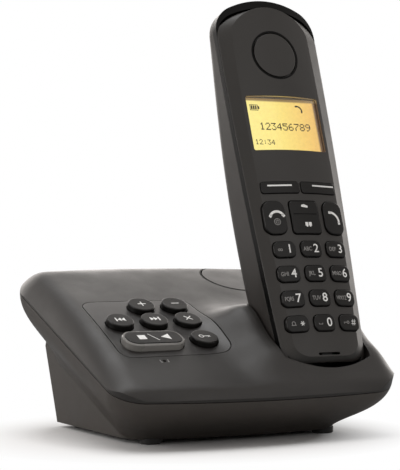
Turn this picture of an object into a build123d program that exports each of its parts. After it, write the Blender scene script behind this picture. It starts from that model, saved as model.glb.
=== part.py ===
from build123d import *
import math
import os

# Answering machine: a wedge-shaped base with a key panel, and a cordless handset standing in its cradle.
# Millimetres, +Z up, the key panel at -X and the handset at +X, the front at -Y.
# The base is drawn in a sloping frame: x across, s up the slope, h square to the slope from the seam.
# The handset is drawn in its own frame: u across, v along its length, w out of its face.

# ---------------------------------------------------------------- base housing
BASE_WIDTH = 122.0
BASE_LENGTH = 118.4
SEAM_TILT = 21.0
SEAM_HEIGHT = 37.6
FRONT_BOW = 3.5
REAR_BOW = 3.0
FRONT_LEFT_CORNER = 12.0
OTHER_CORNERS = 16.0
BASE_WALL = 2.2
SEAM_GAP = 0.3
LIP_HEIGHT = 0.9
LIP_WALL = 1.0
LIP_SLACK = 0.15

# cover skin: its highest line, how it curves, and how wide the rounded edges are
COVER_RISE = 10.6
COVER_CREST = 22.0
COVER_CURVE = 0.0010
COVER_CROWN = 0.6
COVER_EDGE = 1.2
SIDE_ROLL = 11.0
FRONT_ROLL = 5.0
REAR_ROLL = 18.0
ROLL_POWER = 2.6
SKIN_STEPS = 32

# swelling of the cover around the handset
MOUND_FLAT = 21.0
MOUND_LEFT_FALL = 12.0
MOUND_RISE = 10.0
MOUND_PEAK = -17.0
MOUND_FRONT_FALL = 17.0
MOUND_REAR_FALL = 14.0
SILL_RISE = 4.0
SILL_PLACE = -42.0
SILL_FALL = 10.0

# lower housing: undercut bowl, and the block that it stands on
BOWL_DEPTH = 24.0
BOWL_UNDERCUT = 14.4
BLOCK_HALF_WIDTH = 46.0
BLOCK_FRONT = -32.0
BLOCK_REAR = 37.7
BLOCK_REAR_LEAN = 22.7
BLOCK_SHOULDER = 45.6
BLOCK_TOP = 16.0
BLOCK_FRONT_CORNER = 12.0
BLOCK_REAR_CORNER = 1.5
FOOT_HEIGHT = 1.8
FOOT_RADIUS = 4.2
FOOT_SEAT = 0.8
FOOT_SPREAD = 37.5
FOOT_FRONT = -29.5
FOOT_REAR = 30.0

# ---------------------------------------------------------------- key panel on the base
PANEL_X = -27.4
PANEL_S = -11.2
PANEL_WIDTH = 45.8
PANEL_LENGTH = 44.5
PANEL_CORNER = 5.0
PANEL_THICK = 1.0
PANEL_GROOVE = 0.35
KEY_PITCH = 14.4
KEY_ROW_REAR = 14.7
KEY_ROW_MIDDLE = 2.1
KEY_ROW_FRONT = -12.9
ROUND_KEY_RADIUS = 5.3
WIDE_KEY_LENGTH = 24.6
WIDE_KEY_WIDTH = 11.0
BASE_KEY_PROUD = 2.2
BASE_KEY_GAP = 0.3
BASE_KEY_FLANGE = 0.8
BASE_KEY_FLANGE_THICK = 1.0
BASE_KEY_TRAVEL = 0.8
STEM_RADIUS = 2.0
PLAY_CAP_THICK = 0.9

# locating key: a large round disc behind the handset
DISC_X = 30.8
DISC_S = 34.5
DISC_RADIUS = 14.1
DISC_GROOVE = 0.5
DISC_THICK = 1.8
DISC_FLANGE = 1.2

# ---------------------------------------------------------------- inside the base
BOARD_TOP = -3.0
BOARD_THICK = 1.6
BOARD_LEFT = -50.0
BOARD_RIGHT = 41.0
BOARD_STEP = 2.0
BOARD_FRONT = -30.0
BOARD_NOTCH = -8.0
BOARD_REAR = 38.0
BOARD_POSTS = [(-46.0, -26.0), (-0.5, -27.5), (-46.0, 34.5), (37.0, 34.0), (37.0, -4.0)]
POST_RADIUS = 2.5
MAT_THICK = 1.0
MAT_MARGIN = 3.0
SHIELD = (30.0, 17.0, 2.8)
SHIELD_PLACE = (-28.0, 27.0)
SWITCH_SIZE = 6.0
SWITCH_HEIGHT = 3.5
CAPACITOR_RADIUS = 4.0
CAPACITOR_HEIGHT = 9.0
CAPACITOR_PLACES = [(10.0, 20.0), (20.0, 20.0)]
SCREW_POSTS = [(-41.0, 45.0), (8.0, 47.5), (48.0, 8.0), (-24.0, -39.5)]
SCREW_POST_RADIUS = 3.8
POST_TOP = -0.7
POST_FLOOR = 3.0
SCREW_RADIUS = 1.4
SCREW_SLACK = 0.05
SCREW_HEAD_RADIUS = 2.6
SCREW_HEAD_THICK = 1.6
SCREW_LENGTH = 8.0
SPEAKER_X = -14.0
SPEAKER_Y = 4.0
SPEAKER_RADIUS = 20.0
SPEAKER_DEPTH = 7.0
MAGNET_RADIUS = 10.0
MAGNET_THICK = 5.0
GRILLE_SLOTS = 7
GRILLE_PITCH = 4.2
GRILLE_SLOT = 2.0
JACK_DEPTH = 15.0
JACK_CAVITY = 11.0
JACK_WALL = 1.6
LINE_JACK_X = 18.0
LINE_JACK_OPENING = (9.6, 6.8)
POWER_JACK_X = 34.0
POWER_JACK_OPENING = (7.6, 6.8)
JACK_GAP = 0.2
MIC_X = -35.3
MIC_S = -36.8
MIC_HOLE_RADIUS = 0.7
MIC_RADIUS = 3.0
MIC_THICK = 2.4

# ---------------------------------------------------------------- handset housing
HANDSET_X = 30.0
HANDSET_Y = -42.7
HANDSET_Z = 43.5
HANDSET_TILT = 18.9
GRIP_BOTTOM = -18.5
GRIP_TOP = 137.0
GRIP_HALF_LOW = 18.1
GRIP_HALF_MIDDLE = 21.9
GRIP_HALF_HIGH = 23.0
GRIP_ARCH = 7.0
GRIP_HEEL = 1.6
LOW_CORNER = 7.0
HIGH_CORNER = 11.0
FACE_CROWN = 90.0
GRIP_WALL = 1.6
BEVEL_EDGE = 4.2
BEVEL_HIGH = 3.4
BEVEL_LOW = 2.0
BROW = 3.4
BROW_DROP = 1.2
TRIM_DEPTH = 2.8
SHELL_GAP = 0.12
DEPTH_LOW = 22.4
DEPTH_MIDDLE = 18.6
DEPTH_HIGH = 11.0
BACK_CROWN = 2.0
BACK_ROUND = 4.6
BACK_BEVEL = 1.5
BROW_ROUND = 1.2

# ---------------------------------------------------------------- handset front
DIAL_PITCH_U = 11.62
DIAL_PITCH_V = 9.925
DIAL_KEY = (9.2, 6.4)
DIAL_CORNER = 2.2
DIAL_PROUD = 0.9
KEY_SLACK = 0.25
KEY_FLANGE = 0.6
KEY_HEADROOM = 0.15
KEY_BOTTOM = -4.4
KEY_TRAVEL = 0.6
NAV_V = 42.8
NAV_KEY = (12.6, 13.4)
SIDE_KEY_U = 13.3
SIDE_KEY = (9.2, 13.6)
NAV_SWING = 3.0
SOFT_V = 55.3
SOFT_KEY = (16.2, 4.6)
SOFT_KEY_U = 8.65
WINDOW_V = 82.8
WINDOW = (33.1, 23.2)
WINDOW_THICK = 1.0
WINDOW_SLACK = 0.1
LCD_TOP = -2.8
LCD_THICK = 1.2
LIGHT_BOTTOM = -6.2
LIGHT_MARGIN = 2.4
EAR_V = 112.4
EAR_RADIUS = 9.9
EAR_GROOVE = 0.5
EAR_CAP_THICK = 1.2
RECEIVER_RADIUS = 8.0
RECEIVER_THICK = 3.0
VOICE_V = -12.0
VOICE_SLOT = (9.6, 1.0)

# ---------------------------------------------------------------- handset inside and back
HAND_BOARD_THICK = 1.2
HAND_BOARD_HALF = 16.5
HAND_BOARD_BOTTOM = -12.0
HAND_BOARD_TOP_END = 99.0
HAND_MAT_THICK = 0.8
CELL_RADIUS = 5.2
CELL_LENGTH = 44.0
CELL_V = 46.5
CELL_GAP = 0.2
BAY_FLOOR = -8.9
BAY_END = 1.2
BAY_WALL = 1.0
BATTERY_DOOR = (28.0, 50.0)
DOOR_CORNER = 4.0
DOOR_SLACK = 0.25
RINGER_V = 91.0
RINGER_RADIUS = 9.0
RINGER_THICK = 3.0
HAND_SCREW_V = 63.5
HAND_SCREW_U = 17.6
PAD_U = 9.0
PAD_W = -13.0
PAD_SIZE = (4.0, 2.4)
PAD_THICK = 1.6
PAD_SINK = 0.5

# ---------------------------------------------------------------- cradle
POCKET_SIDE = 0.8
POCKET_BOTTOM = 0.3
WELL_WALL = 1.6
WELL_REACH = 14.0
SPRING_REACH = 6.0
SPRING_THICK = 0.8
SPRING_SLACK = 0.15
SPRING_GAP = 0.2

tilt = math.radians(SEAM_TILT)
SLOPE = Plane(origin=(0, 0, SEAM_HEIGHT), x_dir=(1, 0, 0), z_dir=(0, -math.sin(tilt), math.cos(tilt)))
lean = math.radians(HANDSET_TILT)
GRIP = Plane(
    origin=(HANDSET_X, HANDSET_Y, HANDSET_Z),
    x_dir=(1, 0, 0),
    z_dir=(0, -math.cos(lean), math.sin(lean)),
)
LOW = (Align.CENTER, Align.CENTER, Align.MIN)
HIGH = (Align.CENTER, Align.CENTER, Align.MAX)

nodes = {}


def prism(sketch, low, high):
    """A straight-sided solid over a flat outline, from one level to another."""
    return extrude(Pos(0, 0, low) * sketch, high - low)


def only(solid):
    """The single solid that a cut leaves."""
    return max(solid.solids(), key=lambda part: part.volume)


# ================================================================ base skin
def edge_roll(distance, width):
    """0 at the rim, 1 where the rounded edge has run out."""
    share = min(distance / width, 1.0)
    return 1.0 - share


def bell(place, middle, fall_low, fall_high, flat=0.0):
    """A smooth hump about a middle, with its own fall on each side."""
    off = abs(place - middle) - flat
    if off <= 0:
        return 1.0
    fall = fall_low if place < middle else fall_high
    return math.exp(-((off / fall) ** 2))


def cover_height(x, s, inset):
    """Height of the cover's skin over the seam, for a skin set in by some wall."""
    half = BASE_WIDTH / 2 - inset
    front = -BASE_LENGTH / 2 + FRONT_BOW * (x / half) ** 2 + inset
    rear = BASE_LENGTH / 2 - REAR_BOW * (x / half) ** 2 - inset
    across = edge_roll(half - abs(x), SIDE_ROLL)
    along = max(edge_roll(s - front, FRONT_ROLL), edge_roll(rear - s, REAR_ROLL))
    fall = (max(across, 0.0) ** 2 + max(along, 0.0) ** 2) ** (ROLL_POWER / 2)
    top = COVER_RISE - COVER_CURVE * (s - COVER_CREST) ** 2 - COVER_CROWN * (x / half) ** 2
    swell = MOUND_RISE * bell(s, MOUND_PEAK, MOUND_FRONT_FALL, MOUND_REAR_FALL)
    swell += SILL_RISE * bell(s, SILL_PLACE, SILL_FALL, SILL_FALL)
    top += swell * bell(x, HANDSET_X, MOUND_LEFT_FALL, BASE_WIDTH, MOUND_FLAT)
    return COVER_EDGE + (top - inset - COVER_EDGE) * (1.0 - fall)


def skin_marks(reach):
    """Marks from -reach to reach, closer together near both ends."""
    angles = [math.pi * step / SKIN_STEPS for step in range(SKIN_STEPS + 1)]
    return [-reach * (0.55 * math.cos(a) + 0.45 * (1 - 2 * a / math.pi)) for a in angles]


def under_skin(inset):
    """Everything below the cover's skin, down past the seam."""
    rows = []
    for s in skin_marks(BASE_LENGTH / 2 + 1):
        rows.append([Vector(x, s, cover_height(x, s, inset)) for x in skin_marks(BASE_WIDTH / 2 + 1)])
    skin = Face.make_surface_from_array_of_points(rows, tol=0.02)
    return Solid.extrude(skin, Vector(0, 0, -60))


def seam_outline(inset, taper=0.0):
    """The base's outline at the seam, set in by a wall and by the undercut."""
    half = BASE_WIDTH / 2 - inset - taper
    front = -BASE_LENGTH / 2 + inset + taper
    rear = BASE_LENGTH / 2 - inset - taper
    edges = [
        ThreePointArc((-half, front + FRONT_BOW), (0, front), (half, front + FRONT_BOW)),
        Line((half, front + FRONT_BOW), (half, rear - REAR_BOW)),
        ThreePointArc((half, rear - REAR_BOW), (0, rear), (-half, rear - REAR_BOW)),
        Line((-half, rear - REAR_BOW), (-half, front + FRONT_BOW)),
    ]
    outline = Sketch() + make_face(edges)
    tight = [v for v in outline.vertices() if v.X < 0 and v.Y < 0]
    outline = fillet(tight, FRONT_LEFT_CORNER - inset)
    wide = [v for v in outline.vertices() if abs(abs(v.X) - half) < 0.01 and (v.X > 0 or v.Y > 0)]
    return fillet(wide, OTHER_CORNERS - inset)


def upper_hull(inset, low=SEAM_GAP / 2):
    """The upper half of the base as one block, set in by a wall."""
    return prism(seam_outline(inset), low, 40) & under_skin(inset)


def lower_hull(inset):
    """The lower half of the base as one block, set in by a wall, in the base's own upright frame."""
    sections = []
    for depth, share in ((0, 0.0), (3, 0.035), (13, 0.46), (BOWL_DEPTH, 1.0)):
        level = -depth if depth < BOWL_DEPTH else -depth + inset
        sections.append(Pos(0, 0, level) * seam_outline(inset, BOWL_UNDERCUT * share))
    bowl = SLOPE * loft(sections)
    width = 2 * (BLOCK_HALF_WIDTH - inset)
    length = 100.0
    block = Pos(0, BLOCK_FRONT + inset + length / 2, 0) * Box(width, length, 60, align=LOW)
    corners = block.edges().filter_by(Axis.Z).group_by(Axis.Y)[0]
    block = fillet(corners, BLOCK_FRONT_CORNER - inset)
    rear_plane = Plane(
        origin=(0, BLOCK_REAR - inset, 0),
        x_dir=(1, 0, 0),
        z_dir=(0, math.cos(math.radians(BLOCK_REAR_LEAN)), -math.sin(math.radians(BLOCK_REAR_LEAN))),
    )
    block = split(block, bisect_by=rear_plane, keep=Keep.BOTTOM)
    block = split(block, bisect_by=SLOPE.offset(-BLOCK_TOP), keep=Keep.BOTTOM)
    beyond = Pos(0, BLOCK_SHOULDER - inset, 0) * Box(200, 60, 200, align=(Align.CENTER, Align.MIN, Align.CENTER))
    block -= SLOPE * beyond
    hull = bowl + block
    return split(hull, bisect_by=Plane.XY.offset(FOOT_HEIGHT + inset), keep=Keep.TOP)


# ================================================================ handset skin
def grip_outline(inset, brow=0.0, bevel_low=0.0, bevel_high=0.0):
    """The handset's outline seen square to its face."""
    low = GRIP_HALF_LOW - inset - bevel_low
    middle = GRIP_HALF_MIDDLE - inset - (bevel_low + bevel_high) / 2
    high = GRIP_HALF_HIGH - inset - bevel_high
    bottom = GRIP_BOTTOM + GRIP_HEEL + inset + bevel_low
    top = GRIP_TOP - inset - brow
    shoulder = top - GRIP_ARCH
    waist = GRIP_BOTTOM + (GRIP_TOP - GRIP_BOTTOM) / 2
    edges = [
        ThreePointArc((-low, bottom), (0, bottom - GRIP_HEEL), (low, bottom)),
        ThreePointArc((low, bottom), (middle, waist), (high, shoulder)),
        ThreePointArc((high, shoulder), (0, top), (-high, shoulder)),
        ThreePointArc((-high, shoulder), (-middle, waist), (-low, bottom)),
    ]
    outline = Sketch() + make_face(edges)
    outline = fillet([v for v in outline.vertices() if v.Y < waist], LOW_CORNER - inset)
    return fillet([v for v in outline.vertices() if v.Y > shoulder - 1], HIGH_CORNER - inset)


def back_depth(v):
    """Depth of the handset's back under its face line, at the sides."""
    marks = ((GRIP_BOTTOM, DEPTH_LOW), (45.0, DEPTH_LOW), (85.0, DEPTH_MIDDLE), (GRIP_TOP, DEPTH_HIGH))
    for (v0, d0), (v1, d1) in zip(marks, marks[1:]):
        if v <= v1:
            return d0 + (d1 - d0) * (v - v0) / (v1 - v0)
    return d1


def grip_section(v, lift, inset):
    """A slice across the handset, wider than the handset, with its crowned face and back."""
    reach = GRIP_HALF_HIGH + 4
    drop = FACE_CROWN - math.sqrt(FACE_CROWN**2 - reach**2)
    back = back_depth(v) - inset
    edges = [
        ThreePointArc((-reach, lift - drop), (0, lift), (reach, lift - drop)),
        Line((reach, lift - drop), (reach, -back + BACK_CROWN / 2)),
        ThreePointArc((reach, -back + BACK_CROWN / 2), (0, -back - BACK_CROWN), (-reach, -back + BACK_CROWN / 2)),
        Line((-reach, -back + BACK_CROWN / 2), (-reach, lift - drop)),
    ]
    level = Plane(origin=(0, v, 0), x_dir=(1, 0, 0), z_dir=(0, -1, 0))
    return level * (Sketch() + make_face(edges))


def grip_hull(inset, lift=None):
    """The whole handset as one block, set in by a wall."""
    lift = -inset if lift is None else lift
    marks = (GRIP_BOTTOM - 6, 20.0, 60.0, 100.0, GRIP_TOP + 6)
    slab = loft([grip_section(v, lift, inset) for v in marks])
    hull = prism(grip_outline(inset), -40, 10) & slab
    rear_edges = hull.faces().sort_by(Axis.Z)[0].edges()
    if inset > 0:
        return chamfer(rear_edges, BACK_BEVEL)
    return fillet(rear_edges, BACK_ROUND - inset)


# ================================================================ places on the base
def skin_slope(x, s, reach=20.0):
    """How steeply the cover's skin rises over the seam plane."""
    rise = cover_height(x, s + reach, 0) - cover_height(x, s - reach, 0)
    return math.atan(rise / (2 * reach))


panel_height = cover_height(PANEL_X, PANEL_S, 0)
panel_slope = skin_slope(PANEL_X, PANEL_S)
PANEL = Plane(
    origin=(PANEL_X, PANEL_S, panel_height),
    x_dir=(1, 0, 0),
    z_dir=(0, -math.sin(panel_slope), math.cos(panel_slope)),
)
mat_top = BOARD_TOP + MAT_THICK
flange_top = -(BASE_WALL + 2 * BASE_KEY_GAP)

ROUND_KEYS = {
    "volume_up_key": (0, KEY_ROW_REAR),
    "volume_down_key": (KEY_PITCH, KEY_ROW_REAR),
    "skip_back_key": (-KEY_PITCH, KEY_ROW_MIDDLE),
    "skip_forward_key": (0, KEY_ROW_MIDDLE),
    "delete_key": (KEY_PITCH, KEY_ROW_MIDDLE),
    "answer_key": (KEY_PITCH, KEY_ROW_FRONT),
}
WIDE_KEY_PLACE = (-KEY_PITCH / 2, KEY_ROW_FRONT)


def wide_key_outline(extra=0.0):
    """The outline of the wide play and stop key."""
    return RectangleRounded(
        WIDE_KEY_LENGTH + 2 * extra,
        WIDE_KEY_WIDTH + 2 * extra,
        WIDE_KEY_WIDTH / 2 + extra - 0.7,
    )


def stem_bottom(q):
    """Where a key's stem ends, over the key mat, measured down the key."""
    drop = (panel_height + q * math.sin(panel_slope) - mat_top) / math.cos(panel_slope)
    return -(drop - BASE_KEY_TRAVEL - BASE_KEY_GAP)


def key_holes():
    """The holes that the panel's keys pass through."""
    holes = []
    for p, q in ROUND_KEYS.values():
        holes.append(Pos(p, q, 0) * Cylinder(ROUND_KEY_RADIUS + BASE_KEY_GAP, 30))
    p, q = WIDE_KEY_PLACE
    holes.append(Pos(p, q, 0) * prism(wide_key_outline(BASE_KEY_GAP), -15, 15))
    return [PANEL * hole for hole in holes]


def disc_place(radius, height=60):
    """A round bar along the locating key's axis."""
    return Pos(DISC_X, DISC_S, 0) * Cylinder(radius, height)


# ================================================================ base cover and cradle
pocket = GRIP * Pos(0, POCKET_SIDE - POCKET_BOTTOM, 0) * grip_hull(-POCKET_SIDE)
pad_low = GRIP_BOTTOM + PAD_SINK
spring_top = pad_low - SPRING_GAP


def cradle_well():
    """The walls around the handset's lower end, down into the base."""
    outer = Pos(0, POCKET_SIDE - POCKET_BOTTOM, 0) * grip_hull(-POCKET_SIDE - WELL_WALL)
    reach = Pos(HANDSET_X, SILL_PLACE / 2 - WELL_REACH / 2, -WELL_REACH)
    room = reach * Box(80, 90, WELL_REACH + SEAM_GAP, align=LOW)
    room = prism(seam_outline(BASE_WALL + 1), -WELL_REACH, SEAM_GAP) & room
    return (GRIP * outer) & (SLOPE * (upper_hull(0) + room))


def charge_spring(side, slack=0.0):
    """One upright strip that meets the handset's charge pad."""
    size = (PAD_SIZE[1] + 2 * slack, SPRING_REACH, SPRING_THICK + 2 * slack)
    strip = Box(*size, align=(Align.CENTER, Align.MAX, Align.CENTER))
    return GRIP * Pos(side * PAD_U, spring_top, PAD_W) * strip


def base_cover():
    """The upper shell: skin, key holes, screw bosses and the cradle well."""
    shell = upper_hull(0) - upper_hull(BASE_WALL, -1)
    for x, s in SCREW_POSTS:
        boss = Pos(x, s, POST_TOP + SEAM_GAP) * Cylinder(SCREW_POST_RADIUS, 30, align=LOW)
        shell += boss & under_skin(BASE_WALL / 2)
    for x, s in SCREW_POSTS:
        bore = Pos(x, s, POST_TOP) * Cylinder(SCREW_RADIUS + SCREW_SLACK, SCREW_LENGTH - POST_FLOOR + 0.5, align=LOW)
        shell -= bore
    recess = PANEL_THICK
    outline = Pos(PANEL_X, PANEL_S) * RectangleRounded(
        PANEL_WIDTH + 2 * PANEL_GROOVE, PANEL_LENGTH + 2 * PANEL_GROOVE, PANEL_CORNER + PANEL_GROOVE
    )
    shell -= prism(outline, 0, 30) - under_skin(recess)
    for hole in key_holes():
        shell -= hole
    shell -= disc_place(DISC_RADIUS + DISC_GROOVE)
    shell -= Pos(MIC_X, MIC_S, 0) * Cylinder(MIC_HOLE_RADIUS, 40)
    shell = SLOPE * shell
    shell = shell + cradle_well() - pocket
    for side in (-1, 1):
        shell -= charge_spring(side, SPRING_SLACK)
    return only(shell)


def control_panel():
    """The plate that frames the keys, flush with the cover."""
    outline = Pos(PANEL_X, PANEL_S) * RectangleRounded(PANEL_WIDTH, PANEL_LENGTH, PANEL_CORNER)
    plate = (prism(outline, 0, 30) & under_skin(0)) - under_skin(PANEL_THICK)
    for hole in key_holes():
        plate -= hole
    return SLOPE * only(plate)


def base_key(p, q, cap, flange):
    """A key on the panel: cap, flange under the cover, and stem down to the mat."""
    bottom = stem_bottom(q)
    stem_length = flange_top - BASE_KEY_FLANGE_THICK - bottom
    stem = Pos(0, 0, bottom) * Cylinder(STEM_RADIUS, stem_length + 0.2, align=LOW)
    return SLOPE * PANEL * Pos(p, q, 0) * (cap + flange + stem)


def round_key(p, q):
    """A round key with a softened top edge."""
    low = flange_top - BASE_KEY_FLANGE_THICK
    cap = Pos(0, 0, low) * Cylinder(ROUND_KEY_RADIUS, BASE_KEY_PROUD - low, align=LOW)
    cap = fillet(cap.edges().sort_by(Axis.Z)[-1], 0.5)
    flange = Pos(0, 0, low) * Cylinder(ROUND_KEY_RADIUS + BASE_KEY_FLANGE, BASE_KEY_FLANGE_THICK, align=LOW)
    return base_key(p, q, cap, flange)


def play_stop_skirt():
    """The grey body of the wide key, with a seat for its black cap."""
    p, q = WIDE_KEY_PLACE
    low = flange_top - BASE_KEY_FLANGE_THICK
    cap = prism(wide_key_outline(), low, BASE_KEY_PROUD)
    cap = chamfer(cap.edges().group_by(Axis.Z)[-1], 0.4)
    cap -= prism(wide_key_outline(-0.9), BASE_KEY_PROUD - PLAY_CAP_THICK, BASE_KEY_PROUD + 1)
    flange = prism(wide_key_outline(BASE_KEY_FLANGE), low, flange_top)
    return base_key(p, q, cap, flange)


def play_stop_cap():
    """The black cap of the wide key, a little proud of its skirt."""
    p, q = WIDE_KEY_PLACE
    top = BASE_KEY_PROUD + 0.25
    cap = prism(wide_key_outline(-0.95), BASE_KEY_PROUD - PLAY_CAP_THICK, top)
    cap = fillet(cap.edges().group_by(Axis.Z)[-1], 0.25)
    return SLOPE * PANEL * Pos(p, q, 0) * cap


def locating_key():
    """The large disc, following the cover's skin, on a stem over its switch."""
    face = (disc_place(DISC_RADIUS) & under_skin(0)) - under_skin(DISC_THICK)
    flange_low = BASE_WALL + BASE_KEY_GAP + BASE_KEY_FLANGE_THICK
    flange = disc_place(DISC_RADIUS + DISC_FLANGE) & under_skin(BASE_WALL + BASE_KEY_GAP)
    flange -= under_skin(flange_low)
    core = (disc_place(DISC_RADIUS) & under_skin(DISC_THICK / 2)) - under_skin(flange_low)
    stem_end = BOARD_TOP + SWITCH_HEIGHT + BASE_KEY_TRAVEL + BASE_KEY_GAP
    stem = Pos(DISC_X, DISC_S, stem_end) * Cylinder(STEM_RADIUS, 30, align=LOW)
    stem = stem & under_skin(DISC_THICK / 2)
    return SLOPE * only(face + core + flange + stem)


# ================================================================ base shell and what it carries
foot_places = [(x, y) for x in (-FOOT_SPREAD, FOOT_SPREAD) for y in (FOOT_FRONT, FOOT_REAR)]
floor_z = FOOT_HEIGHT + BASE_WALL


def jack_openings():
    """Each jack's middle and the size of its socket."""
    return {"line_jack": (LINE_JACK_X, LINE_JACK_OPENING), "power_jack": (POWER_JACK_X, POWER_JACK_OPENING)}


jack_height = LINE_JACK_OPENING[1] + 2 * JACK_WALL
jack_mouth = BLOCK_REAR - BASE_WALL - JACK_GAP


def base_shell():
    """The lower shell: bowl, block, posts, foot seats, speaker grille and jack holes."""
    outer = split(lower_hull(0), bisect_by=SLOPE.offset(-SEAM_GAP / 2), keep=Keep.BOTTOM)
    shell = outer - lower_hull(BASE_WALL)
    lip = prism(seam_outline(BASE_WALL + LIP_SLACK), -2, LIP_HEIGHT)
    lip -= prism(seam_outline(BASE_WALL + LIP_SLACK + LIP_WALL), -3, LIP_HEIGHT + 1)
    seat = prism(seam_outline(BASE_WALL / 2), -2, -SEAM_GAP / 2)
    seat -= prism(seam_outline(BASE_WALL + LIP_SLACK + LIP_WALL), -3, 1)
    lip = lip & under_skin(BASE_WALL + LIP_SLACK)
    shell += SLOPE * (lip + seat)
    bottom = -80
    for x, s in SCREW_POSTS:
        post = Pos(x, s, bottom) * Cylinder(SCREW_POST_RADIUS, POST_TOP - bottom, align=LOW)
        shell += (SLOPE * post) & outer
    for x, s in BOARD_POSTS:
        post = Pos(x, s, bottom) * Cylinder(POST_RADIUS, BOARD_TOP - BOARD_THICK - bottom, align=LOW)
        shell += (SLOPE * post) & outer
    for x, s in SCREW_POSTS:
        bore = Pos(x, s, POST_TOP) * Cylinder(SCREW_RADIUS + SCREW_SLACK, 20)
        sink = Pos(x, s, POST_TOP - POST_FLOOR) * Cylinder(SCREW_HEAD_RADIUS + 0.3, 80, align=HIGH)
        shell -= SLOPE * (bore + sink)
    for x, y in foot_places:
        shell -= Pos(x, y, 0) * Cylinder(FOOT_RADIUS, FOOT_HEIGHT + FOOT_SEAT, align=LOW)
    for step in range(GRILLE_SLOTS):
        off = (step - (GRILLE_SLOTS - 1) / 2) * GRILLE_PITCH
        length = 2 * math.sqrt((SPEAKER_RADIUS - 3) ** 2 - off**2)
        slot = Pos(SPEAKER_X + off, SPEAKER_Y, 0) * Box(GRILLE_SLOT, length, 3 * floor_z)
        shell -= slot
    for x, (width, height) in jack_openings().values():
        middle = floor_z + jack_height / 2
        shell -= Pos(x, jack_mouth + 10, middle) * Box(width + 0.6, 40, height + 0.6)
    return only(shell)


def base_feet():
    """Four rubber feet, each in its seat."""
    feet = []
    for x, y in foot_places:
        foot = Pos(x, y, 0) * Cylinder(FOOT_RADIUS, FOOT_HEIGHT + FOOT_SEAT, align=LOW)
        feet.append(chamfer(foot.edges().sort_by(Axis.Z)[0], 0.5))
    return Compound(feet)


def board_outline():
    """The circuit board's L shape, round the cradle well."""
    left = BOARD_STEP - BOARD_LEFT
    right = BOARD_RIGHT - BOARD_STEP
    outline = Pos(BOARD_LEFT + left / 2, (BOARD_FRONT + BOARD_REAR) / 2) * Rectangle(left, BOARD_REAR - BOARD_FRONT)
    outline += Pos(BOARD_STEP + right / 2, (BOARD_NOTCH + BOARD_REAR) / 2) * Rectangle(right, BOARD_REAR - BOARD_NOTCH)
    return outline


def base_circuit_board():
    return SLOPE * prism(board_outline(), BOARD_TOP - BOARD_THICK, BOARD_TOP)


def base_board_parts():
    """Shield, locating switch and two capacitors."""
    width, length, height = SHIELD
    x, s = SHIELD_PLACE
    parts = [Pos(x, s, BOARD_TOP) * Box(width, length, height, align=LOW)]
    parts.append(Pos(DISC_X, DISC_S - 0.5, BOARD_TOP) * Box(SWITCH_SIZE, SWITCH_SIZE, SWITCH_HEIGHT, align=LOW))
    for x, s in CAPACITOR_PLACES:
        can = Pos(x, s, BOARD_TOP - BOARD_THICK) * Cylinder(CAPACITOR_RADIUS, CAPACITOR_HEIGHT, align=HIGH)
        parts.append(can)
    return Compound([SLOPE * part for part in parts])


def base_key_mat():
    """A rubber sheet under the panel's keys."""
    length = KEY_ROW_REAR - KEY_ROW_FRONT + 2 * (ROUND_KEY_RADIUS + MAT_MARGIN)
    width = 2 * KEY_PITCH + 2 * (ROUND_KEY_RADIUS + MAT_MARGIN)
    middle = PANEL_S + (KEY_ROW_REAR + KEY_ROW_FRONT) / 2
    outline = Pos(PANEL_X, middle) * RectangleRounded(width, length, MAT_MARGIN)
    return SLOPE * prism(outline, BOARD_TOP, mat_top)


def screw(length, radius, head_radius, head_thick):
    """A pan-head screw standing on its head, the top of the head at zero."""
    shank = Cylinder(radius, length, align=LOW)
    head = Cylinder(head_radius, head_thick, align=HIGH)
    return shank + head


def base_screws():
    screws = []
    for x, s in SCREW_POSTS:
        place = Pos(x, s, POST_TOP - POST_FLOOR)
        screws.append(SLOPE * place * screw(SCREW_LENGTH, SCREW_RADIUS, SCREW_HEAD_RADIUS, SCREW_HEAD_THICK))
    return Compound(screws)


def speaker_frame():
    """The loudspeaker's flange and open basket."""
    rim = Cylinder(SPEAKER_RADIUS, 1.6, align=LOW)
    basket = Cone(SPEAKER_RADIUS - 2, MAGNET_RADIUS + 1, SPEAKER_DEPTH, align=LOW)
    inside = Cone(SPEAKER_RADIUS - 3, MAGNET_RADIUS, SPEAKER_DEPTH - 1, align=LOW)
    return Pos(SPEAKER_X, SPEAKER_Y, floor_z) * (rim + basket - inside)


def speaker_cone():
    """The paper cone inside the basket."""
    outer = Cone(SPEAKER_RADIUS - 3.6, MAGNET_RADIUS / 2, SPEAKER_DEPTH - 2, align=LOW)
    inner = Pos(0, 0, -0.5) * Cone(SPEAKER_RADIUS - 3.6, MAGNET_RADIUS / 2 - 0.6, SPEAKER_DEPTH - 2, align=LOW)
    return Pos(SPEAKER_X, SPEAKER_Y, floor_z + 0.3) * only(outer - inner)


def speaker_magnet():
    return Pos(SPEAKER_X, SPEAKER_Y, floor_z + SPEAKER_DEPTH) * Cylinder(MAGNET_RADIUS, MAGNET_THICK, align=LOW)


def jack(name):
    """A socket open to the rear."""
    x, (width, height) = jack_openings()[name]
    box = Box(width + 2 * JACK_WALL, JACK_DEPTH, jack_height, align=(Align.CENTER, Align.MAX, Align.MIN))
    cavity = Pos(0, 0, (jack_height - height) / 2) * Box(
        width, JACK_CAVITY, height, align=(Align.CENTER, Align.MAX, Align.MIN)
    )
    return Pos(x, jack_mouth, floor_z) * (box - cavity)


def base_microphone():
    top = cover_height(MIC_X, MIC_S, BASE_WALL) - BASE_KEY_GAP - MIC_RADIUS * math.tan(skin_slope(MIC_X, MIC_S))
    return SLOPE * Pos(MIC_X, MIC_S, top) * Cylinder(MIC_RADIUS, MIC_THICK, align=HIGH)


def charge_springs():
    return Compound([charge_spring(side) for side in (-1, 1)])


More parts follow.
